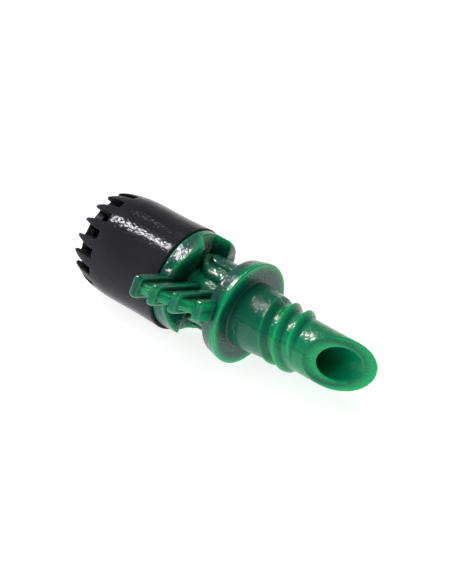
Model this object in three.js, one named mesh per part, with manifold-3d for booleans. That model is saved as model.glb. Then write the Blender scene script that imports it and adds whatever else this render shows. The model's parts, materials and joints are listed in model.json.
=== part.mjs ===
// Adjustable drip emitter with a self-piercing barb, in millimetres, +Z up.
//
// Everything is drawn along one axis, +X towards the barb's tip, with x = 0 at the cap's mouth, the
// grip wings along Y and the mould opening along Z. The group is then rolled about X, so that the
// emitter lies on a table on its cap, its flange and one wing, and moved so that its origin is the
// middle of the bottom of its bounding box.
import * as THREE from 'three';
import { mergeVertices } from 'three/addons/utils/BufferGeometryUtils.js';
import Module from 'manifold-3d';

const wasm = await Module();
wasm.setup();

const ROUND = 48; // sides of the round parts
const OVERCUT = 0.5; // how far a cutter runs past the face that it opens

// Cap
const CAP_LENGTH = 8.9;
const CAP_RADIUS = 4.36;
const CAP_LIP_RADIUS = 4.47;
const CAP_LIP_WIDTH = 0.3;
const CAP_FLARE_X = -2.6; // where the side starts to widen towards the lip
const SHOULDER_ARC = 0.72; // share of a quarter turn in the shoulder's curve
const SHOULDER_STEPS = 6;
const CAP_SHOULDER_X = -5.2; // where the side starts to curve in towards the closed end
const CAP_END_RADIUS = 3.62;
const CAP_CORE_RADIUS = 3.3; // floor of the outlet slots
const CAP_CORE_RECESS = 0.3; // how far the end disc stands back from the fin tips
const CAP_END_WALL = 0.6;
const SLOT_COUNT = 16;
const SLOT_WIDTH = 0.78;
const SLOT_END_WIDTH = 1.24; // the fins narrow towards the closed end
const SLOT_START_X = -6.75;
const OUTLET_END_X = -7.8;
const SLOT_PHASE = 0.39; // of a pitch, from the top

// Collar and the seal behind it
const COLLAR_RADIUS = 4.16;
const COLLAR_BACK_X = -0.7;
const COLLAR_FRONT_X = 1.93;
const COUNTERBORE_RADIUS = 4.22;
const SEAL_SECTION = 0.54;
const SEAL_GAP = 0.05;
const COUNTERBORE_X = COLLAR_BACK_X - SEAL_SECTION - 2 * SEAL_GAP;
const NOTCH_BACK_X = 0.85;
const NOTCH_BACK_HALF_WIDTH = 0.84;
const NOTCH_FRONT_HALF_WIDTH = 1.75;
// The windows and their pads sit a few degrees round from the middle between the wings.
const WINDOW_TURN = THREE.MathUtils.degToRad(4.5);

// Screw thread, right-handed, single start
const PITCH = 1.0;
const SPIGOT_RADIUS = 3.1;
const SPIGOT_END_X = -5.3;
const SPIGOT_THREAD_RADIUS = 3.42;
const CAP_THREAD_RADIUS = 3.2;
const CAP_BORE_RADIUS = 3.52;
const RIDGE_BASE = 0.46;
const RIDGE_CREST = 0.22;
const RIDGE_ROOT_SINK = 0.12; // how far a ridge's foot is sunk in its wall
const RIDGE_SIDES = 24; // straight pieces in one turn

// Water way
const BORE_RADIUS = 1.35;
const CHAMBER_RADIUS = 2.3;
const CHAMBER_FLOOR_X = -2.2;
const SEAT_RADIUS = 1.75;
const SEAT_HEIGHT = 0.25;
const DIAPHRAGM_RADIUS = 2.1;
const DIAPHRAGM_THICKNESS = 0.8;
const CORE_RADIUS = 2.9;
const CORE_THICKNESS = 1.1;
const CORE_FLOOR = 0.2; // what is left under the radial ways
const CORE_WAY_WIDTH = 0.3;
const CORE_WAY_START = 1.8;
const CORE_GROOVE_DEPTH = 0.35;
const CORE_GROOVE_INNER_RADIUS = 1.5;
const CORE_GROOVE_OUTER_RADIUS = 2.1;
const FIT_GAP = 0.05;

// Neck, flange, shoulder and barb
const NECK_RADIUS = 2.26;
const FLANGE_BACK_X = 5.05;
const FLANGE_BACK_RADIUS = 3.85;
const FLANGE_FRONT_X = 6.68;
const FLANGE_RADIUS = 4.36;
const FLANGE_RIM_WIDTH = 0.35; // the cylindrical land at the flange's rim
const SHOULDER_RADIUS = 2.8;
const SHOULDER_END_RADIUS = 2.66;
const SHOULDER_END_X = 9.3;
const TUBE_RADIUS = 2.2;
const CUT_NEAR_X = 13.95; // where the oblique cut meets the tube on the -Y side
const CUT_ANGLE = Math.PI / 4;

// Self-tapping thread round the barb: right-handed, two starts, steep on the flange side
const BARB_LEAD = 2.8;
const BARB_CREST_RADIUS = 2.62;
const BARB_BACK_WIDTH = 0.12;
const BARB_CREST_WIDTH = 0.1;
const BARB_FLANK_WIDTH = 0.6;
const BARB_FIRST_X = 8.97; // where the first start's crest crosses the top
const BARB_RUNS = [[0, 500], [-170, 310]]; // each start's first and last angle from the top, in degrees
const BARB_FADE = 70; // degrees over which a start sinks into the tube at its end

// Moulded ridge in each window
const RIDGE_BUMP_RADIUS = 0.85;
const RIDGE_BUMP_START_X = 1.82;
const PAD_RADIUS = 2.1;
const PAD_AXIS_HEIGHT = 0.75;
const PAD_HALF_WIDTH = 1.6;
const PAD_START_X = 1.13;

// Grip wings
const RIB_STARTS = [0.48, 2.13, 3.66, 5.27];
const RIB_REACHES = [8.2, 8.1, 7.3, 6.1];
const RIB_THICKNESS = 0.72;
const RIB_HALF_HEIGHT = 0.89;
const WEB_HALF_HEIGHT = 0.42;
const WEB_SETBACK = 0.2;

function toSolid(geometry) {
  const bare = geometry.index ? geometry.toNonIndexed() : geometry.clone();
  bare.deleteAttribute('normal');
  bare.deleteAttribute('uv');
  const merged = mergeVertices(bare, 1e-4);
  const index = merged.index.array;
  const triangles = [];
  for (let i = 0; i < index.length; i += 3) {
    const [a, b, c] = [index[i], index[i + 1], index[i + 2]];
    if (a !== b && b !== c && c !== a) {
      triangles.push(a, b, c);
    }
  }
  const vertProperties = new Float32Array(merged.attributes.position.array);
  const solid = new wasm.Manifold(new wasm.Mesh({
    numProp: 3,
    vertProperties,
    triVerts: new Uint32Array(triangles),
  }));
  if (solid.volume() > 0) {
    return solid;
  }
  return new wasm.Manifold(new wasm.Mesh({
    numProp: 3,
    vertProperties,
    triVerts: new Uint32Array(triangles.reverse()),
  }));
}

function toGeometry(solid) {
  const mesh = solid.getMesh();
  const geometry = new THREE.BufferGeometry();
  geometry.setAttribute('position', new THREE.BufferAttribute(new Float32Array(mesh.vertProperties), 3));
  geometry.setIndex(new THREE.BufferAttribute(new Uint32Array(mesh.triVerts), 1));
  geometry.computeVertexNormals();
  return geometry;
}

// A body of revolution about X from [x, radius] pairs that start and end on the axis.
function turned(pairs, sides = ROUND) {
  const points = pairs.map(([x, radius]) => new THREE.Vector2(radius, x));
  const geometry = new THREE.LatheGeometry(points, sides);
  geometry.rotateZ(-Math.PI / 2);
  return toSolid(geometry);
}

function rod(startX, endX, radius, sides = ROUND) {
  return turned([[startX, 0], [startX, radius], [endX, radius], [endX, 0]], sides);
}

function block(minimum, maximum) {
  const size = maximum.map((value, i) => value - minimum[i]);
  const geometry = new THREE.BoxGeometry(...size);
  geometry.translate(...minimum.map((value, i) => value + size[i] / 2));
  return toSolid(geometry);
}

// A flat outline in the X-Y plane, given a height about z = 0.
function plate(corners, halfHeight) {
  const shape = new THREE.Shape(corners.map(([x, y]) => new THREE.Vector2(x, y)));
  const geometry = new THREE.ExtrudeGeometry(shape, { depth: 2 * halfHeight, bevelEnabled: false });
  geometry.translate(0, 0, -halfHeight);
  return toSolid(geometry);
}

function turnAboutX(solid, angle) {
  return solid.rotate([THREE.MathUtils.radToDeg(angle), 0, 0]);
}

// A long box wound into a right-handed helix about X. section(along) gives the four corners
// [x offset, radius] of the ridge at a share of its length: foot and crest behind, foot and crest ahead.
function wound(startX, lead, startAngle, endAngle, section) {
  const steps = Math.ceil((endAngle - startAngle) / (2 * Math.PI / RIDGE_SIDES));
  const geometry = new THREE.BoxGeometry(1, 1, 1, steps, 1, 1);
  const position = geometry.attributes.position;
  for (let i = 0; i < position.count; i += 1) {
    const along = position.getX(i) + 0.5;
    const [backFoot, backCrest, frontFoot, frontCrest] = section(along);
    const atCrest = position.getY(i) > 0;
    const back = atCrest ? backCrest : backFoot;
    const front = atCrest ? frontCrest : frontFoot;
    const [offset, radius] = position.getZ(i) < 0 ? back : front;
    const angle = startAngle + (endAngle - startAngle) * along;
    const x = startX + lead * angle / (2 * Math.PI) + offset;
    position.setXYZ(i, x, -radius * Math.sin(angle), radius * Math.cos(angle));
  }
  return toSolid(geometry);
}

function screwRidge(footRadius, crestRadius, phase) {
  const section = () => [
    [-RIDGE_BASE / 2, footRadius],
    [-RIDGE_CREST / 2, crestRadius],
    [RIDGE_BASE / 2, footRadius],
    [RIDGE_CREST / 2, crestRadius],
  ];
  const startX = SPIGOT_END_X + RIDGE_BASE;
  const turns = (COUNTERBORE_X - RIDGE_BASE - startX) / PITCH;
  return wound(startX - PITCH * phase, PITCH, 2 * Math.PI * phase, 2 * Math.PI * (turns + phase), section);
}

function barbRidge(start) {
  const [firstAngle, lastAngle] = BARB_RUNS[start].map(THREE.MathUtils.degToRad);
  const fade = THREE.MathUtils.degToRad(BARB_FADE) / (lastAngle - firstAngle);
  const footRadius = TUBE_RADIUS - RIDGE_ROOT_SINK;
  const section = (along) => {
    const strength = Math.min(1, (1 - along) / fade);
    const height = BARB_CREST_RADIUS - TUBE_RADIUS + RIDGE_ROOT_SINK / 2;
    const crestRadius = TUBE_RADIUS - RIDGE_ROOT_SINK / 2 + height * strength;
    return [
      [-BARB_BACK_WIDTH, footRadius],
      [0, crestRadius],
      [BARB_CREST_WIDTH + BARB_FLANK_WIDTH * strength, footRadius],
      [BARB_CREST_WIDTH, crestRadius],
    ];
  };
  const startX = BARB_FIRST_X + start * BARB_LEAD / BARB_RUNS.length;
  return wound(startX, BARB_LEAD, firstAngle, lastAngle, section);
}

function bodyOfRevolution() {
  const tipX = CUT_NEAR_X + 2 * TUBE_RADIUS / Math.tan(CUT_ANGLE) + OVERCUT;
  return turned([
    [SPIGOT_END_X, 0],
    [SPIGOT_END_X, SPIGOT_RADIUS],
    [COLLAR_BACK_X, SPIGOT_RADIUS],
    [COLLAR_BACK_X, COLLAR_RADIUS],
    [COLLAR_FRONT_X, COLLAR_RADIUS],
    [COLLAR_FRONT_X, NECK_RADIUS],
    [FLANGE_BACK_X, NECK_RADIUS],
    [FLANGE_BACK_X, FLANGE_BACK_RADIUS],
    [FLANGE_FRONT_X - FLANGE_RIM_WIDTH, FLANGE_RADIUS],
    [FLANGE_FRONT_X, FLANGE_RADIUS],
    [FLANGE_FRONT_X, SHOULDER_RADIUS],
    [SHOULDER_END_X, SHOULDER_END_RADIUS],
    [SHOULDER_END_X, TUBE_RADIUS],
    [tipX, TUBE_RADIUS],
    [tipX, 0],
  ]);
}

// A cutter between two heights whose plan is symmetrical about X, from [x, half width] pairs.
function flatCutter(pairs, low, high) {
  const mirrored = pairs.map(([x, half]) => [x, -half]).reverse();
  const shape = new THREE.Shape([...pairs, ...mirrored].map(([x, y]) => new THREE.Vector2(x, y)));
  const geometry = new THREE.ExtrudeGeometry(shape, { depth: high - low, bevelEnabled: false });
  geometry.translate(0, 0, low);
  return toSolid(geometry);
}

function collarNotch(side) {
  const notch = flatCutter([
    [NOTCH_BACK_X, NOTCH_BACK_HALF_WIDTH],
    [COLLAR_FRONT_X, NOTCH_FRONT_HALF_WIDTH],
    [COLLAR_FRONT_X + OVERCUT, NOTCH_FRONT_HALF_WIDTH],
  ], NECK_RADIUS, COLLAR_RADIUS + OVERCUT);
  return turnAboutX(notch, WINDOW_TURN + (side > 0 ? 0 : Math.PI));
}

// The pad's plan: straight sides and a rounded end towards the cap.
function padPlan() {
  const shape = new THREE.Shape();
  const endX = FLANGE_BACK_X + 2 * OVERCUT;
  shape.moveTo(endX, -PAD_HALF_WIDTH);
  shape.lineTo(endX, PAD_HALF_WIDTH);
  shape.lineTo(PAD_START_X + PAD_HALF_WIDTH, PAD_HALF_WIDTH);
  shape.absarc(PAD_START_X + PAD_HALF_WIDTH, 0, PAD_HALF_WIDTH, Math.PI / 2, 3 * Math.PI / 2, false);
  const settings = { depth: COLLAR_RADIUS, bevelEnabled: false, curveSegments: 16 };
  return toSolid(new THREE.ExtrudeGeometry(shape, settings));
}

function windowRidge(side) {
  const bump = new THREE.SphereGeometry(RIDGE_BUMP_RADIUS, 20, 12);
  const bumpCentreX = RIDGE_BUMP_START_X + RIDGE_BUMP_RADIUS;
  bump.rotateX(Math.PI / 2);
  bump.translate(bumpCentreX, 0, 0);
  const ridge = toSolid(bump)
    .add(rod(bumpCentreX, FLANGE_BACK_X + OVERCUT, RIDGE_BUMP_RADIUS, 20))
    .translate([0, 0, NECK_RADIUS]);
  const pad = rod(PAD_START_X, FLANGE_BACK_X + OVERCUT, PAD_RADIUS, 32)
    .translate([0, 0, PAD_AXIS_HEIGHT])
    .intersect(padPlan());
  return turnAboutX(ridge.add(pad), WINDOW_TURN + (side > 0 ? 0 : Math.PI));
}

function gripWing() {
  const inner = NECK_RADIUS - OVERCUT;
  let wing = plate([
    [RIB_STARTS[0], inner],
    [RIB_STARTS[3] + RIB_THICKNESS, inner],
    [RIB_STARTS[3] + RIB_THICKNESS / 2, RIB_REACHES[3] - WEB_SETBACK],
    [RIB_STARTS[2] + RIB_THICKNESS / 2, RIB_REACHES[2] - WEB_SETBACK],
    [RIB_STARTS[1] + RIB_THICKNESS / 2, RIB_REACHES[1] - WEB_SETBACK],
    [RIB_STARTS[0] + RIB_THICKNESS / 2, RIB_REACHES[0] - WEB_SETBACK],
  ], WEB_HALF_HEIGHT);
  RIB_STARTS.forEach((startX, i) => {
    wing = wing.add(block(
      [startX, inner, -RIB_HALF_HEIGHT],
      [startX + RIB_THICKNESS, RIB_REACHES[i], RIB_HALF_HEIGHT],
    ));
  });
  return wing;
}

function obliqueCut() {
  const reach = 4 * TUBE_RADIUS;
  const cutter = block([0, -reach, -reach], [reach, reach, reach]);
  return cutter
    .rotate([0, 0, THREE.MathUtils.radToDeg(-CUT_ANGLE)])
    .translate([CUT_NEAR_X, -TUBE_RADIUS, 0]);
}

function waterWay() {
  const bore = rod(SPIGOT_END_X - OVERCUT, CUT_NEAR_X + 3 * TUBE_RADIUS, BORE_RADIUS, 32);
  const chamber = rod(SPIGOT_END_X - OVERCUT, CHAMBER_FLOOR_X, CHAMBER_RADIUS, 32);
  const seat = rod(CHAMBER_FLOOR_X - SEAT_HEIGHT, CHAMBER_FLOOR_X + OVERCUT, SEAT_RADIUS, 32);
  return chamber.subtract(seat).add(bore);
}

function makeBarbedBody() {
  let body = bodyOfRevolution();
  body = body.subtract(collarNotch(1)).subtract(collarNotch(-1));
  body = body.add(windowRidge(1)).add(windowRidge(-1));
  body = body.add(gripWing()).add(turnAboutX(gripWing(), Math.PI));
  body = body.add(screwRidge(SPIGOT_RADIUS - RIDGE_ROOT_SINK, SPIGOT_THREAD_RADIUS, 0));
  body = body.add(barbRidge(0)).add(barbRidge(1));
  return body.subtract(obliqueCut()).subtract(waterWay());
}

// Radius of the cap's outside: a lip at the mouth, a straight side and an elliptical shoulder.
function capOutline() {
  const arc = (Math.PI / 2) * SHOULDER_ARC;
  const outline = [];
  for (let i = 0; i <= SHOULDER_STEPS; i += 1) {
    const angle = arc * (1 - i / SHOULDER_STEPS);
    const drop = (1 - Math.cos(angle)) / (1 - Math.cos(arc));
    const run = Math.sin(angle) / Math.sin(arc);
    outline.push([
      CAP_SHOULDER_X - (CAP_LENGTH + CAP_SHOULDER_X) * run,
      CAP_RADIUS - (CAP_RADIUS - CAP_END_RADIUS) * drop,
    ]);
  }
  return [
    ...outline,
    [CAP_FLARE_X, CAP_RADIUS],
    [-CAP_LIP_WIDTH, CAP_LIP_RADIUS],
    [0, CAP_LIP_RADIUS],
  ];
}

function capShell() {
  const endDiscX = -CAP_LENGTH + CAP_CORE_RECESS;
  const cavityEndX = endDiscX + CAP_END_WALL;
  return turned([
    [-CAP_LENGTH, 0],
    ...capOutline(),
    [0, COUNTERBORE_RADIUS],
    [COUNTERBORE_X, COUNTERBORE_RADIUS],
    [COUNTERBORE_X, CAP_BORE_RADIUS],
    [SPIGOT_END_X - 2 * FIT_GAP, CAP_BORE_RADIUS],
    [SPIGOT_END_X - 2 * FIT_GAP, CORE_RADIUS + FIT_GAP],
    [cavityEndX, CORE_RADIUS + FIT_GAP],
    [cavityEndX, 0],
  ]);
}

function crownCutter() {
  const endDiscX = -CAP_LENGTH + CAP_CORE_RECESS;
  const groove = flatCutter([
    [-CAP_LENGTH, SLOT_END_WIDTH / 2],
    [SLOT_START_X, SLOT_WIDTH / 2],
  ], CAP_CORE_RADIUS, CAP_LIP_RADIUS);
  let cutter = rod(-CAP_LENGTH - OVERCUT, endDiscX, CAP_CORE_RADIUS);
  for (let i = 0; i < SLOT_COUNT; i += 1) {
    const angle = (i + SLOT_PHASE) * 2 * Math.PI / SLOT_COUNT;
    const outlet = block(
      [OUTLET_END_X, -SLOT_WIDTH / 2, CORE_RADIUS - OVERCUT],
      [SLOT_START_X, SLOT_WIDTH / 2, CAP_CORE_RADIUS + OVERCUT],
    );
    cutter = cutter.add(turnAboutX(groove.add(outlet), angle));
  }
  return cutter;
}

function makeOutletCap() {
  const ridge = screwRidge(CAP_BORE_RADIUS + RIDGE_ROOT_SINK, CAP_THREAD_RADIUS, 0.5);
  return capShell().subtract(crownCutter()).add(ridge);
}

function makeCapSeal() {
  const outerRadius = COUNTERBORE_RADIUS - SEAL_GAP;
  const centreRadius = outerRadius - SEAL_SECTION / 2;
  const ring = new THREE.TorusGeometry(centreRadius, SEAL_SECTION / 2, 12, ROUND);
  ring.rotateY(Math.PI / 2);
  ring.translate(COLLAR_BACK_X - SEAL_GAP - SEAL_SECTION / 2, 0, 0);
  return toSolid(ring);
}

function makeFlowDiaphragm() {
  const faceX = CHAMBER_FLOOR_X - SEAT_HEIGHT - FIT_GAP;
  return rod(faceX - DIAPHRAGM_THICKNESS, faceX, DIAPHRAGM_RADIUS, 32);
}

// A disc pressed in the cap's closed end, with a ring groove and radial ways out to the slots.
function makeLabyrinthCore() {
  const endX = -CAP_LENGTH + CAP_CORE_RECESS + CAP_END_WALL + FIT_GAP;
  const faceX = endX + CORE_THICKNESS;
  let core = rod(endX, faceX, CORE_RADIUS, 32);
  const floorX = faceX - CORE_GROOVE_DEPTH;
  const groove = rod(floorX, faceX + OVERCUT, CORE_GROOVE_OUTER_RADIUS, 32)
    .subtract(rod(floorX - OVERCUT, faceX + 2 * OVERCUT, CORE_GROOVE_INNER_RADIUS, 32));
  core = core.subtract(groove);
  for (let i = 0; i < SLOT_COUNT; i += 1) {
    const way = block(
      [endX + CORE_FLOOR, -CORE_WAY_WIDTH / 2, CORE_WAY_START],
      [faceX + OVERCUT, CORE_WAY_WIDTH / 2, CORE_RADIUS + OVERCUT],
    );
    core = core.subtract(turnAboutX(way, (i + SLOT_PHASE) * 2 * Math.PI / SLOT_COUNT));
  }
  return core;
}

const moulding = { roughness: 0.4, metalness: 0 };
const finishes = {
  barbed_body: { color: '#0a8050', ...moulding },
  outlet_cap: { color: '#35353c', ...moulding },
  cap_seal: { color: '#141414', roughness: 0.7, metalness: 0 },
  flow_diaphragm: { color: '#d9cdbb', roughness: 0.6, metalness: 0 },
  labyrinth_core: { color: '#2a2a2e', ...moulding },
};

function namedMesh(name, solid) {
  const mesh = new THREE.Mesh(toGeometry(solid), new THREE.MeshStandardMaterial(finishes[name]));
  mesh.name = name;
  return mesh;
}

// The roll at which the lower wing's corner is level with the underside of the cap's lip.
function restingRoll() {
  const reach = Math.hypot(RIB_REACHES[0], RIB_HALF_HEIGHT);
  return Math.asin(CAP_LIP_RADIUS / reach) - Math.atan2(RIB_HALF_HEIGHT, RIB_REACHES[0]);
}

const emitter = new THREE.Group();
emitter.add(
  namedMesh('barbed_body', makeBarbedBody()),
  namedMesh('outlet_cap', makeOutletCap()),
  namedMesh('cap_seal', makeCapSeal()),
  namedMesh('flow_diaphragm', makeFlowDiaphragm()),
  namedMesh('labyrinth_core', makeLabyrinthCore()),
);
emitter.rotation.x = -restingRoll();
emitter.updateMatrixWorld(true);

const bounds = new THREE.Box3().setFromObject(emitter, true);
const middle = bounds.getCenter(new THREE.Vector3());
emitter.position.set(-middle.x, -middle.y, -bounds.min.z);
emitter.updateMatrixWorld(true);

export default emitter;
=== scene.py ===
"""Drip emitter: a green moulding with a threaded barb and a charcoal screw cap with slots.

Lengths inside the shape functions are millimetres in the emitter's own frame: x along the water
way from the cap's mouth, y across the grip wings, z across the mould opening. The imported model
places the pieces, in metres.
"""
import json
import math

import bpy
import numpy as np
import openvdb
from mathutils import Matrix, Vector


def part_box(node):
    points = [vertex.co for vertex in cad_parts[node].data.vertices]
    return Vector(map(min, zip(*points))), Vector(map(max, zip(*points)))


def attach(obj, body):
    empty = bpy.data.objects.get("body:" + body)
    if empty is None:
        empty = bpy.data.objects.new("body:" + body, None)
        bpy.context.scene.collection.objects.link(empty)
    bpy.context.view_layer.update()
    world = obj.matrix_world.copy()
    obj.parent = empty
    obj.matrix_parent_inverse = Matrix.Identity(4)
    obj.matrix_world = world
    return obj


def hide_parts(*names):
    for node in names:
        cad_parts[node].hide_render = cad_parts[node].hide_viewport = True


MM = 0.001

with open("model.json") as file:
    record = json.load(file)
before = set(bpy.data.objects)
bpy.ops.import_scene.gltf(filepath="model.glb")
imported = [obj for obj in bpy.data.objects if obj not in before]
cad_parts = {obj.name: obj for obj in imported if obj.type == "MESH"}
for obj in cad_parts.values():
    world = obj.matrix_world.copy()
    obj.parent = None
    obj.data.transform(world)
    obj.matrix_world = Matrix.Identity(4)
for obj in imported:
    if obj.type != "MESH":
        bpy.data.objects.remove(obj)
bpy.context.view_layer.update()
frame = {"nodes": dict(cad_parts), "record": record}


# ---------------------------------------------------------------- frame
def emitter_frame():
    """Mouth centre of the cap in mm, and the roll of the mould opening from +Z towards +Y."""
    low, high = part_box("outlet_cap")
    centre = np.array([high[0], (low[1] + high[1]) / 2, (low[2] + high[2]) / 2])
    face = next(m for m in frame["record"]["mounts"] if m["name"] == "flange_face")
    offset = np.array(face["pos_m"]) - centre
    return centre / MM, math.atan2(offset[1], offset[2])


ORIGIN, ROLL = emitter_frame()


def to_world(points):
    x, y, z = points[:, 0], points[:, 1], points[:, 2]
    c, s = math.cos(ROLL), math.sin(ROLL)
    turned_y, turned_z = c * y + s * z, c * z - s * y
    return np.stack([x + ORIGIN[0], turned_y + ORIGIN[1], turned_z + ORIGIN[2]], 1) * MM


# ---------------------------------------------------------------- distance fields
def join(a, b, r):
    """Union with a fillet of radius r."""
    u, v = np.maximum(r - a, 0), np.maximum(r - b, 0)
    return np.maximum(r, np.minimum(a, b)) - np.sqrt(u * u + v * v)


def both(a, b, r):
    """Intersection with a rounded edge of radius r."""
    u, v = np.maximum(r + a, 0), np.maximum(r + b, 0)
    return np.minimum(-r, np.maximum(a, b)) + np.sqrt(u * u + v * v)


def cut(a, b, r):
    """a without b, with a rounded edge of radius r."""
    return both(a, -b, r)


def band(x, low, high):
    return np.maximum(low - x, x - high)


def smooth(x, low, high):
    t = np.clip((x - low) / (high - low), 0, 1)
    return t * t * (3 - 2 * t)


def barrel(x, r, low, high, radius, edge):
    return both(r - radius, band(x, low, high), edge)


def cone(x, r, a, b):
    """Signed distance to the line through (x, r) points a and b, outside above it."""
    dx, dr = b[0] - a[0], b[1] - a[1]
    return ((r - a[1]) * dx - (x - a[0]) * dr) / math.hypot(dx, dr)


SPIGOT_END = -5.3
SPIGOT_RADIUS = 3.1
PITCH = 1.0
SPIGOT_THREAD = (-5.0, -1.6, 3.05, 3.42, 0.0)  # its two ends, foot and crest radius, phase
CAP_THREAD = (-5.0, -1.7, 3.57, 3.2, 0.5)  # half a pitch on, so between the spigot's turns
RIDGE_HALF = 0.22  # half the width of a screw ridge at its foot
RIDGE_TAPER = 0.12  # how much of that is gone at its crest
RIDGE_ROOT = 0.15  # how far its foot goes into the wall


def screw_ridge(x, y, z, r, low, high, foot, crest, phase):
    """Right-handed screw ridge between two x positions. crest < foot makes it an inner one."""
    turn = np.arctan2(-y, z) / (2 * np.pi)
    u = (x - low - PITCH * (turn + phase) + PITCH / 2) % PITCH - PITCH / 2
    side = 1.0 if crest > foot else -1.0
    height = abs(crest - foot)
    rise = (r - foot) * side
    flank = (np.abs(u) - RIDGE_HALF + rise * RIDGE_TAPER / height) * 0.95
    ridge = both(both(flank, rise - height, 0.03), band(x, low, high), 0.03)
    return np.maximum(ridge, -RIDGE_ROOT - rise)


WINDOW_TURN = math.radians(4.5)
COLLAR_BACK = -0.7
COLLAR_FRONT = 1.93
COLLAR_RUN_BACK = 0.62  # how much further back its front edge is at the wings
COLLAR_RADIUS = 4.16
LIP_RADIUS = 4.27  # of the collar outside the cap's mouth
LIP_RAISE = 0.1
LIP_START = 0.08
NOTCH_BACK = 0.85
NOTCH_HALF = 0.84  # half its width at the back
NOTCH_SPREAD = 0.84  # how fast that grows forwards
NOTCH_FLOOR = 1.1
PAD_CENTRE = 0.75
PAD_FOOT = 1.0
PAD_END = 5.6
PAD = (1.2, 1.66, 2.1)  # where it starts, half its width, radius of its dome
GROOVE = (1.55, 1.08, 2.0)
BAR = (1.82, 0.82, 2.33)
NECK = 2.26
FLANGE_BACK = (5.05, 4.02)  # x and radius
FLANGE_RIM = (6.33, 4.36)
FLANGE_FRONT = 6.68
SHOULDER_START = (FLANGE_FRONT, 2.8)
SHOULDER_END = (9.15, 2.58)
SHOULDER_STOP = 9.12  # where its end face starts, away from the first ridge
SHOULDER_FACE = 0.55  # length of that face
RIB_STARTS = (0.48, 2.13, 3.66, 5.27)
RIB_REACHES = (8.2, 8.1, 7.3, 6.1)
RIB_THICKNESS = 0.72
RIB_HALF_HEIGHT = 0.89
WEB_HALF_HEIGHT = 0.42
WEB_SETBACK = 0.2  # from the ribs' tips
BEAD_HALF_HEIGHT = 0.16
BEAD_WIDTH = 0.14
TUBE = 2.2
BORE = 1.35
CUT_NEAR = 13.95
LEAD = 2.8
CREST = 2.66
CREST_LAG = 0.26
FIRST_CREST = 8.87
BARB_BACK = 0.12  # length of a ridge's steep side, and of its long one
BARB_FRONT = 0.6
BARB_FOOT = 0.72  # where its long side ends, from the crest's back edge
BARB_RUNS = ((0, 505), (-170, 315))  # each start's first and last angle from the top, degrees
FADE_IN = 12
FADE_OUT = 85
PARTING_STEP = 0.03
CHAMBER_RADIUS = 2.3
CHAMBER_FLOOR = -2.2
SEAT = (-2.45, -1.5, 1.75)  # its two ends and its radius


def window_turned(y, z):
    """The windows and their pads sit a few degrees round from the middle between the wings."""
    c, s = math.cos(WINDOW_TURN), math.sin(WINDOW_TURN)
    return y * c + z * s, z * c - y * s


def collar(x, y, z, r):
    """The thick collar. Its front edge runs back at the wings, and a notch opens each window."""
    around = np.arctan2(np.abs(y), np.abs(z))
    front = COLLAR_FRONT - COLLAR_RUN_BACK * smooth(around, math.radians(26), math.radians(74))
    d = both(r - COLLAR_RADIUS, COLLAR_BACK - x, 0.05)
    lip = both(np.sqrt(y * y + (z - LIP_RAISE) ** 2) - LIP_RADIUS, LIP_START - x, 0.05)
    d = both(np.minimum(d, lip), (x - front) * 0.9, 0.2)
    y, z = window_turned(y, z)
    half = NOTCH_HALF + (x - NOTCH_BACK) * NOTCH_SPREAD
    plan = both(NOTCH_BACK - x, (np.abs(y) - half) * 0.76, 0.12)
    notch = np.maximum(plan, NOTCH_FLOOR - np.abs(z))
    return cut(d, notch, 0.18)


def window_pads(x, y, z):
    """A domed pad with a rounded end, and a raised bar in a groove along it."""
    y, z = window_turned(y, z)
    height = np.abs(z)

    def plan(start, half):
        along = np.minimum(x - start - half, 0)
        return np.sqrt(along * along + y * y) - half

    def dome(radius):
        return np.sqrt(y * y + (height - PAD_CENTRE) ** 2) - radius

    pad = both(both(dome(PAD[2]), plan(PAD[0], PAD[1]), 0.1), PAD_FOOT - height, 0.02)
    groove = np.maximum(plan(GROOVE[0], GROOVE[1]), -dome(GROOVE[2]))
    pad = cut(pad, groove, 0.04)
    bar = both(plan(BAR[0], BAR[1]), dome(BAR[2]), 0.13)
    bar = both(bar, PAD_FOOT - height, 0.02)
    return np.maximum(join(pad, bar, 0.05), x - PAD_END)


def flange(x, r):
    side = both(cone(x, r, FLANGE_BACK, FLANGE_RIM), r - FLANGE_RIM[1], 0.05)
    return both(both(side, 5.0 - x, 0.3), x - FLANGE_FRONT, 0.07)


def rib(x, y, z, index):
    outline = both(np.abs(y) - RIB_REACHES[index], np.abs(z) - RIB_HALF_HEIGHT, 0.36)
    return both(outline, band(x, RIB_STARTS[index], RIB_STARTS[index] + RIB_THICKNESS), 0.26)


def wings(x, y, z):
    """Four ribs a side, on a thin web with a fine bead along its outer edge."""
    reach, height = np.abs(y), np.abs(z)
    d = rib(x, y, z, 0)
    for index in range(1, len(RIB_STARTS)):
        d = np.minimum(d, rib(x, y, z, index))
    middles = [start + RIB_THICKNESS / 2 for start in RIB_STARTS]
    limit = np.interp(x, middles, [far - WEB_SETBACK for far in RIB_REACHES])
    inside = band(x, RIB_STARTS[0] + 0.1, RIB_STARTS[-1] + 0.6)
    web = both((reach - limit + BEAD_WIDTH) * 0.95, height - WEB_HALF_HEIGHT, 0.06)
    bead = both((reach - limit) * 0.95, height - BEAD_HALF_HEIGHT, 0.05)
    plate = np.maximum(np.minimum(web, bead), inside)
    return join(d, plate, 0.08)


def crest_shift(theta):
    """How far the ridges lag on the barb's under side. It drops to 0 at once on the line below."""
    return CREST_LAG * smooth(theta, math.radians(82), math.radians(180))


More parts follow.
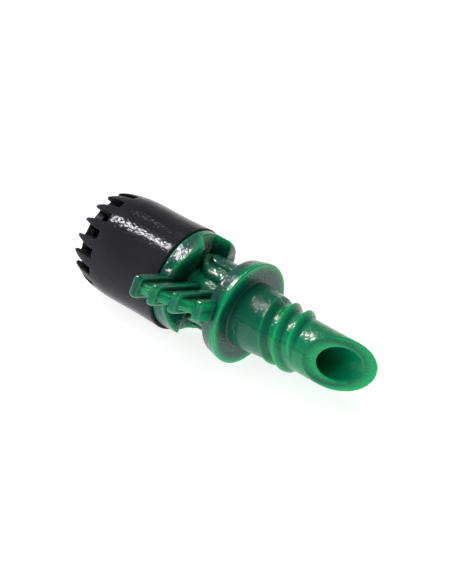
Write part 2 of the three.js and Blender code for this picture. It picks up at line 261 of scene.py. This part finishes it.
def barb_thread(x, y, z, r):
    """Two-start self-tapping ridge, steep on the flange side, fading out at both ends."""
    theta = np.arctan2(-y, z)
    gap = LEAD / 2
    along = x - FIRST_CREST - LEAD * theta / (2 * np.pi) - crest_shift(theta)
    index = np.floor((along + 0.4) / gap)
    u = along - index * gap
    start = np.mod(index, 2)
    angle = np.degrees(theta) + 360 * (index - start) / 2
    first = np.where(start < 0.5, BARB_RUNS[0][0], BARB_RUNS[1][0])
    last = np.where(start < 0.5, BARB_RUNS[0][1], BARB_RUNS[1][1])
    faded_in = smooth(angle, first - FADE_IN, first + FADE_IN)
    strength = faded_in * (1 - smooth(angle, last - FADE_OUT, last))
    reach = r + (1 - strength) * 0.5
    height = CREST - TUBE
    rise = reach - TUBE
    back = (rise * BARB_BACK - (u + BARB_BACK) * height) / math.hypot(BARB_BACK, height)
    front = (rise * BARB_FRONT + (u - BARB_FOOT) * height) / math.hypot(BARB_FRONT, height)
    return both(both(back, front, 0.05), reach - CREST, 0.04) * 0.9


def shoulder(x, y, z, r):
    """Tapered seat in front of the flange. Its end follows the first ridge where that starts."""
    theta = np.arctan2(-y, z)
    follow = FIRST_CREST + LEAD * theta / (2 * np.pi) + crest_shift(theta)
    share = smooth(theta, math.radians(-20), math.radians(20)) * (1 - smooth(theta, 2.5, 3.1))
    end = SHOULDER_STOP + (follow + 0.04 - SHOULDER_STOP) * share
    height = SHOULDER_END[1] - TUBE
    rise = (r - TUBE) * SHOULDER_FACE
    front = (rise + (x - end - SHOULDER_FACE) * height) / math.hypot(SHOULDER_FACE, height)
    d = both(cone(x, r, SHOULDER_START, SHOULDER_END), front * 0.9, 0.05)
    return np.maximum(d, 6 - x)


def moulding_field(p):
    """The whole green moulding. The last lines take out the inlet chamber and the bore."""
    x, y, z = p[:, 0], p[:, 1], p[:, 2]
    r = np.sqrt(y * y + z * z)
    d = barrel(x, r, SPIGOT_END, 0.5, SPIGOT_RADIUS, 0.1)
    d = np.minimum(d, screw_ridge(x, y, z, r, *SPIGOT_THREAD))
    d = np.minimum(d, collar(x, y, z, r))
    d = join(d, both(r - NECK, band(x, 0, 7), 0.02), 0.35)
    d = join(d, window_pads(x, y, z), 0.07)
    d = join(d, flange(x, r), 0.16)
    d = join(d, rib(x, y, z, 0), 0.6)
    d = join(d, wings(x, y, z), 0.22)
    d = join(d, shoulder(x, y, z, r), 0.1)
    stepped = smooth(-z, -0.02, 0.02) * smooth(x, 7.55, 7.65) * (1 - smooth(x, 14.5, 16.5))
    barb = both(r - TUBE, band(x, 6, 19), 0.02)
    barb = join(barb, barb_thread(x, y, z, r), 0.07)
    d = join(d, barb, 0.08) - PARTING_STEP * stepped
    d = both(d, (x - CUT_NEAR - (y + TUBE)) / math.sqrt(2), 0.06)
    chamber = both(r - CHAMBER_RADIUS, x - CHAMBER_FLOOR, 0.05)
    seat = barrel(x, r, *SEAT, 0.05)
    d = np.maximum(d, -cut(chamber, seat, 0.05))
    return cut(d, r - BORE, 0.1)


CAP_LENGTH = 8.9
CAP_RADIUS = 4.36
CAP_LIP = 4.47
CAP_END = 3.62
CAP_SHOULDER = -5.2
CAP_CORE = 3.3
CAP_RECESS = 0.3  # how far the end disc stands back from the fins
COUNTERBORE = 4.22
COUNTERBORE_FLOOR = -1.34
CAP_BORE = 3.52
SLOTS = 16
SLOT_PHASE = 0.44  # of a slot's share of the turn, from the top
SLOT_START = -6.82
SLOT_FLOOR = 3.22
SLOT_HALF = 0.38
SLOT_WIDENING = 0.2  # how much half a slot gains towards the end
OUTLET = (-7.8, -6.75)
OUTLET_FLOOR = 2.4
CAP_BORE_END = -5.4
CAVITY = 2.95
CAVITY_END = -8.0
FIN_EXTRA = 0.06


def cap_side(x):
    """Outer radius of the cap along x."""
    arc = 0.72 * math.pi / 2
    run = np.clip((CAP_SHOULDER - x) / (CAP_LENGTH + CAP_SHOULDER), 0, 1)
    drop = (1 - np.cos(np.arcsin(run * math.sin(arc)))) / (1 - math.cos(arc))
    flare = smooth(x, -3.2, 0.6)
    return CAP_RADIUS - (CAP_RADIUS - CAP_END) * drop + (CAP_LIP - CAP_RADIUS) * flare


def cap_field(p):
    """The cap: its side, slots with their outlets, the recessed end, the inside and the thread."""
    x, y, z = p[:, 0], p[:, 1], p[:, 2]
    r = np.sqrt(y * y + z * z)
    d = both(both((r - cap_side(x)) * 0.96, -CAP_LENGTH - FIN_EXTRA - x, 0.05), x, 0.07)
    sector = 2 * np.pi / SLOTS
    angle = (np.arctan2(-y, z) + (0.5 - SLOT_PHASE) * sector) % sector - sector / 2
    across = np.abs(r * np.sin(angle))
    outward = r * np.cos(angle)
    towards_end = np.clip((OUTLET[1] - x) / (CAP_LENGTH + OUTLET[1]), 0, 1.2)
    half = SLOT_HALF + SLOT_WIDENING * towards_end ** 1.4
    slot = np.maximum(np.maximum(across - half, SLOT_FLOOR - outward), x - SLOT_START)
    d = cut(d, slot, 0.05)
    outlet = np.maximum(np.maximum(across - SLOT_HALF, OUTLET_FLOOR - outward), band(x, *OUTLET))
    crown = np.maximum(r - CAP_CORE, x + CAP_LENGTH - CAP_RECESS)
    d = cut(cut(d, outlet, 0.03), crown, 0.04)
    mouth = both(r - COUNTERBORE, COUNTERBORE_FLOOR - x, 0.05)
    bore = np.maximum(r - CAP_BORE, CAP_BORE_END - x)
    cavity = np.maximum(r - CAVITY, CAVITY_END - x)
    d = np.maximum(d, -np.minimum(np.minimum(mouth, bore), cavity))
    return np.minimum(d, screw_ridge(x, y, z, r, *CAP_THREAD))


# ---------------------------------------------------------------- meshes
BLOCK = 8
# The thick values drive a painted glow on thin edges; the open values drive painted shade in
# hollows.
FILL_DEPTHS = {"thick": (0.25, 0.5, 1.0), "open": (-0.3, -0.7, -1.4, -2.7)}


def sampled(field, low, high, step):
    """Field values on a grid, worked out only in blocks near the surface."""
    count = [int(math.ceil((h - l) / step / BLOCK)) for l, h in zip(low, high)]
    size = BLOCK * step
    corners = np.stack(np.meshgrid(*[np.arange(n) for n in count], indexing="ij"), -1)
    corners = corners.reshape(-1, 3)
    middles = np.array(low) + (corners + 0.5) * size
    coarse = field(middles.astype(np.float32))
    far = 4 * step
    values = np.where(coarse > 0, far, -far).astype(np.float32).reshape(count)
    grid = np.repeat(np.repeat(np.repeat(values, BLOCK, 0), BLOCK, 1), BLOCK, 2)
    near = corners[np.abs(coarse) < size * 1.15 + 0.12]
    ticks = (np.arange(BLOCK) + 0.5) * step
    cell = np.stack(np.meshgrid(ticks, ticks, ticks, indexing="ij"), -1).reshape(1, -1, 3)
    for group in np.array_split(near, max(1, len(near) // 400)):
        points = (np.array(low) + group * size)[:, None, :] + cell
        found = field(points.reshape(-1, 3).astype(np.float32))
        found = np.clip(found.reshape(-1, BLOCK, BLOCK, BLOCK), -far, far)
        for (i, j, k), part in zip(group * BLOCK, found):
            grid[i:i + BLOCK, j:j + BLOCK, k:k + BLOCK] = part
    return grid


def slope(field, points, step=0.02):
    """Unit direction in which the field grows."""
    parts = []
    for axis in range(3):
        shift = np.zeros(3, np.float32)
        shift[axis] = step
        parts.append(field(points + shift) - field(points - shift))
    found = np.stack(parts, 1)
    return found / np.maximum(np.linalg.norm(found, axis=1, keepdims=True), 1e-6)


def fill_value(field, points, normals, depths):
    """How deep the material (with negative depths, the air) is along the normal, from 0 to 1."""
    total = np.zeros(len(points))
    for depth in depths:
        total += np.clip(-np.sign(depth) * field(points - normals * depth) / abs(depth), 0, 1)
    return total / len(depths)


def make_piece(name, field, low, high, step):
    """Mesh of a field's zero surface, with how thick and how open it is stored at each point."""
    grid = sampled(field, low, high, step)
    volume = openvdb.FloatGrid(4 * step)
    volume.copyFromArray(grid)
    points, quads = volume.convertToQuads(isovalue=0.0)
    points = (np.array(low) + (points.astype(np.float64) + 0.5) * step).astype(np.float32)
    normals = slope(field, points)
    for _ in range(2):
        shift = np.clip(field(points), -0.3 * step, 0.3 * step)
        points = points - normals * shift[:, None] * 0.8
    a, b, c = points[quads[:, 0]], points[quads[:, 1]], points[quads[:, 2]]
    facing = np.einsum("ij,ij->i", np.cross(b - a, c - a), normals[quads[:, 0]])
    if np.median(facing) < 0:
        quads = quads[:, ::-1]
    mesh = bpy.data.meshes.new(name)
    mesh.vertices.add(len(points))
    mesh.vertices.foreach_set("co", to_world(points).astype(np.float32).ravel())
    mesh.loops.add(quads.size)
    mesh.loops.foreach_set("vertex_index", quads.astype(np.int32).ravel())
    mesh.polygons.add(len(quads))
    mesh.polygons.foreach_set("loop_start", np.arange(0, quads.size, 4, dtype=np.int32))
    mesh.polygons.foreach_set("loop_total", np.full(len(quads), 4, dtype=np.int32))
    mesh.polygons.foreach_set("use_smooth", np.ones(len(quads), dtype=bool))
    mesh.update(calc_edges=True)
    for key, depths in FILL_DEPTHS.items():
        layer = mesh.attributes.new(key, "FLOAT", "POINT")
        filled = fill_value(field, points, normals, depths)
        layer.data.foreach_set("value", filled.astype(np.float32))
    piece = bpy.data.objects.new(name, mesh)
    bpy.context.scene.collection.objects.link(piece)
    return piece


# ---------------------------------------------------------------- materials
class Nodes:
    """Short calls for building a node material."""

    def __init__(self, name):
        self.material = bpy.data.materials.new(name)
        self.material.use_nodes = True
        self.tree = self.material.node_tree
        self.shader = self.tree.nodes["Principled BSDF"]
        coords = self.tree.nodes.new("ShaderNodeTexCoord")
        self.place = coords.outputs["Object"]

    def link(self, a, b):
        self.tree.links.new(a, b)

    def noise(self, scale, detail=2.0, rough=0.5):
        node = self.tree.nodes.new("ShaderNodeTexNoise")
        node.inputs["Scale"].default_value = scale
        node.inputs["Detail"].default_value = detail
        node.inputs["Roughness"].default_value = rough
        self.link(self.place, node.inputs["Vector"])
        return node.outputs["Fac"]

    def attribute(self, name):
        node = self.tree.nodes.new("ShaderNodeAttribute")
        node.attribute_name = name
        return node.outputs["Fac"]

    def remap(self, value, a, b, c, d):
        node = self.tree.nodes.new("ShaderNodeMapRange")
        self.link(value, node.inputs["Value"])
        for key, number in zip(("From Min", "From Max", "To Min", "To Max"), (a, b, c, d)):
            node.inputs[key].default_value = number
        return node.outputs["Result"]

    def mix(self, factor, a, b):
        node = self.tree.nodes.new("ShaderNodeMix")
        node.data_type = "RGBA"
        self.link(factor, node.inputs["Factor"])
        for key, value in (("A", a), ("B", b)):
            socket = next(s for s in node.inputs if s.name == key and s.type == "RGBA")
            if isinstance(value, tuple):
                socket.default_value = (*value, 1)
            else:
                self.link(value, socket)
        return next(s for s in node.outputs if s.type == "RGBA")

    def math(self, kind, a, b):
        node = self.tree.nodes.new("ShaderNodeMath")
        node.operation = kind
        for socket, value in zip(node.inputs, (a, b)):
            if isinstance(value, (int, float)):
                socket.default_value = value
            else:
                self.link(value, socket)
        return node.outputs[0]

    def bump(self, height, strength, distance, after=None):
        node = self.tree.nodes.new("ShaderNodeBump")
        node.inputs["Strength"].default_value = strength
        node.inputs["Distance"].default_value = distance
        self.link(height, node.inputs["Height"])
        if after is not None:
            self.link(after, node.inputs["Normal"])
        return node.outputs["Normal"]


def green_moulding():
    n = Nodes("green_moulding")
    s = n.shader.inputs
    cloud = n.noise(260, 3)
    body = n.mix(n.remap(cloud, 0.35, 0.65, 0, 1), (0.001, 0.092, 0.062), (0.001, 0.128, 0.080))
    # Painted glow: thin edges and fins are mixed towards bright green, standing in for light
    # shining through the plastic.
    painted_glow_mask = n.remap(n.attribute("thick"), 0.3, 0.85, 1, 0)
    with_painted_glow = n.mix(painted_glow_mask, body, (0.0, 0.48, 0.17))
    # Painted shade: deep creases and hollows between parts are mixed towards dark green.
    painted_shade_mask = n.remap(n.attribute("open"), 0.1, 0.85, 1, 0)
    n.link(n.mix(painted_shade_mask, with_painted_glow, (0.0, 0.045, 0.028)), s["Base Color"])
    speck = n.noise(5200, 1, 0.5)
    n.link(n.remap(speck, 0.3, 0.7, 0.1, 0.16), s["Roughness"])
    waves = n.bump(n.noise(900, 2), 0.3, 0.00004)
    n.link(n.bump(speck, 0.8, 0.00007, waves), s["Normal"])
    s["Subsurface Weight"].default_value = 0.3
    s["Subsurface Radius"].default_value = (0.1, 1.0, 0.45)
    s["Subsurface Scale"].default_value = 0.0012
    s["IOR"].default_value = 1.44
    return n.material


def charcoal_moulding(name="charcoal_moulding", dark=(0.028, 0.027, 0.033)):
    n = Nodes(name)
    s = n.shader.inputs
    light = tuple(v * 1.25 for v in dark)
    body = n.mix(n.remap(n.noise(300, 4), 0.35, 0.65, 0, 1), dark, light)
    # Painted shade: deep slots and hollows are mixed towards near black, and their roughness is
    # raised there too.
    painted_shade_mask = n.remap(n.attribute("open"), 0.62, 0.97, 1, 0)
    n.link(n.mix(painted_shade_mask, body, (0.002, 0.002, 0.0025)), s["Base Color"])
    speck = n.noise(4200, 1, 0.5)
    rough = n.remap(speck, 0.3, 0.7, 0.08, 0.16)
    n.link(n.math("ADD", rough, n.math("MULTIPLY", painted_shade_mask, 0.5)), s["Roughness"])
    waves = n.bump(n.noise(700, 2), 0.3, 0.000015)
    n.link(n.bump(speck, 0.8, 0.00003, waves), s["Normal"])
    s["IOR"].default_value = 1.4
    s["Specular IOR Level"].default_value = 0.1
    s["Sheen Weight"].default_value = 0.12
    s["Sheen Roughness"].default_value = 0.3
    return n.material


def rubber(name, colour, scale):
    n = Nodes(name)
    s = n.shader.inputs
    light = tuple(min(1, v * 1.3 + 0.004) for v in colour)
    n.link(n.mix(n.remap(n.noise(scale, 4), 0.35, 0.65, 0, 1), colour, light), s["Base Color"])
    grain = n.noise(4000, 3, 0.6)
    n.link(n.remap(grain, 0.3, 0.7, 0.5, 0.75), s["Roughness"])
    n.link(n.bump(grain, 0.3, 0.00002), s["Normal"])
    return n.material


# ---------------------------------------------------------------- camera, light, floor
def make_camera():
    """From above, beside the raised wing and ahead of the barb, with a long lens."""
    azimuth, elevation, tilt = (math.radians(v) for v in (39.358, 36.83, 2.741))
    distance = 0.3263
    aim_x, aim_right, aim_up = 4.925, -0.000544, 0.001025
    back = Vector((math.sin(azimuth) * math.cos(elevation),
                   -math.cos(azimuth) * math.cos(elevation),
                   math.sin(elevation)))
    right = Vector((math.cos(azimuth), math.sin(azimuth), 0))
    up = back.cross(right)
    right, up = (right * math.cos(tilt) + up * math.sin(tilt),
                 up * math.cos(tilt) - right * math.sin(tilt))
    neck_end = Vector(to_world(np.array([[aim_x, 0.0, 0.0]]))[0])
    aim = neck_end + right * aim_right + up * aim_up
    data = bpy.data.cameras.new("camera")
    data.sensor_fit = "VERTICAL"
    data.sensor_height = 36
    data.lens = 251.15
    data.clip_start = 0.01
    data.clip_end = 10
    camera = bpy.data.objects.new("camera", data)
    rotation = Matrix((right, up, back)).transposed().to_4x4()
    camera.matrix_world = Matrix.Translation(aim + back * distance) @ rotation
    bpy.context.scene.collection.objects.link(camera)
    bpy.context.scene.camera = camera


def area_light(name, direction, distance, size, power, gloss=True, fill=True):
    """A lamp that faces the object, first side along the emitter. gloss, fill: what it adds to."""
    data = bpy.data.lights.new(name, "AREA")
    data.shape = "RECTANGLE"
    data.size, data.size_y = size
    data.energy = power
    lamp = bpy.data.objects.new(name, data)
    away = direction.normalized()
    along = (Vector((1, 0, 0)) - away * away.x).normalized()
    turn = Matrix((along, away.cross(along), away)).transposed().to_4x4()
    lamp.matrix_world = Matrix.Translation(Vector((0, 0, 0.004)) + away * distance) @ turn
    lamp.visible_glossy = gloss
    lamp.visible_diffuse = fill
    bpy.context.scene.collection.objects.link(lamp)


def studio():
    """Pale table and horizon, two small lamps that add only gloss, a soft one that adds none."""
    world = bpy.data.worlds.new("studio")
    world.use_nodes = True
    tree = world.node_tree
    coords = tree.nodes.new("ShaderNodeTexCoord")
    split = tree.nodes.new("ShaderNodeSeparateXYZ")
    ramp = tree.nodes.new("ShaderNodeMapRange")
    for key, number in (("From Min", 0.1), ("From Max", 0.5), ("To Min", 0.7), ("To Max", 0.12)):
        ramp.inputs[key].default_value = number
    tree.links.new(coords.outputs["Generated"], split.inputs["Vector"])
    tree.links.new(split.outputs["Z"], ramp.inputs["Value"])
    tree.links.new(ramp.outputs["Result"], tree.nodes["Background"].inputs["Strength"])
    tree.nodes["Background"].inputs["Color"].default_value = (1, 1, 1, 1)
    bpy.context.scene.world = world
    area_light("key", Vector((-0.6, -0.06, 0.8)), 0.25, (0.08, 0.008), 0.85, fill=False)
    area_light("second", Vector((-0.5, 0.44, 0.75)), 0.25, (0.02, 0.015), 0.025, fill=False)
    area_light("overhead", Vector((-0.45, -0.25, 1)), 0.6, (0.8, 0.8), 3.2, gloss=False)

    mesh = bpy.data.meshes.new("floor")
    reach = 1.5
    corners = [(-reach, -reach, 0), (reach, -reach, 0), (reach, reach, 0), (-reach, reach, 0)]
    mesh.from_pydata(corners, [], [(0, 1, 2, 3)])
    floor = bpy.data.objects.new("floor", mesh)
    bpy.context.scene.collection.objects.link(floor)
    n = Nodes("pale_floor")
    n.shader.inputs["Base Color"].default_value = (0.5, 0.5, 0.5, 1)
    n.shader.inputs["Roughness"].default_value = 0.9
    n.shader.inputs["Emission Color"].default_value = (1, 1, 1, 1)
    n.shader.inputs["Emission Strength"].default_value = 0.82
    mesh.materials.append(n.material)
    settings = bpy.context.scene.view_settings
    settings.view_transform = "Standard"
    settings.look = "None"


# ---------------------------------------------------------------- build
step = 0.088
moulding = make_piece("green_moulding", moulding_field,
                      (-5.6, -8.5, -4.7), (18.6, 8.5, 4.7), step)
moulding.data.materials.append(green_moulding())
cap = make_piece("slotted_cap", cap_field, (-9.2, -4.8, -4.8), (0.3, 4.8, 4.8), step)
cap.data.materials.append(charcoal_moulding())

for piece, node, body, slot in ((moulding, "barbed_body", "moulding", "body_moulding"),
                                (cap, "outlet_cap", "cap", "cap_moulding")):
    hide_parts(node)
    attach(piece, body)

finishes = {
    "cap_seal": rubber("seal_rubber", (0.008, 0.008, 0.009), 900),
    "flow_diaphragm": rubber("silicone", (0.55, 0.47, 0.37), 700),
    "labyrinth_core": charcoal_moulding("core_moulding", (0.02, 0.02, 0.022)),
}
for node, material in finishes.items():
    for material_slot in frame["nodes"][node].material_slots:
        material_slot.material = material

make_camera()
studio()
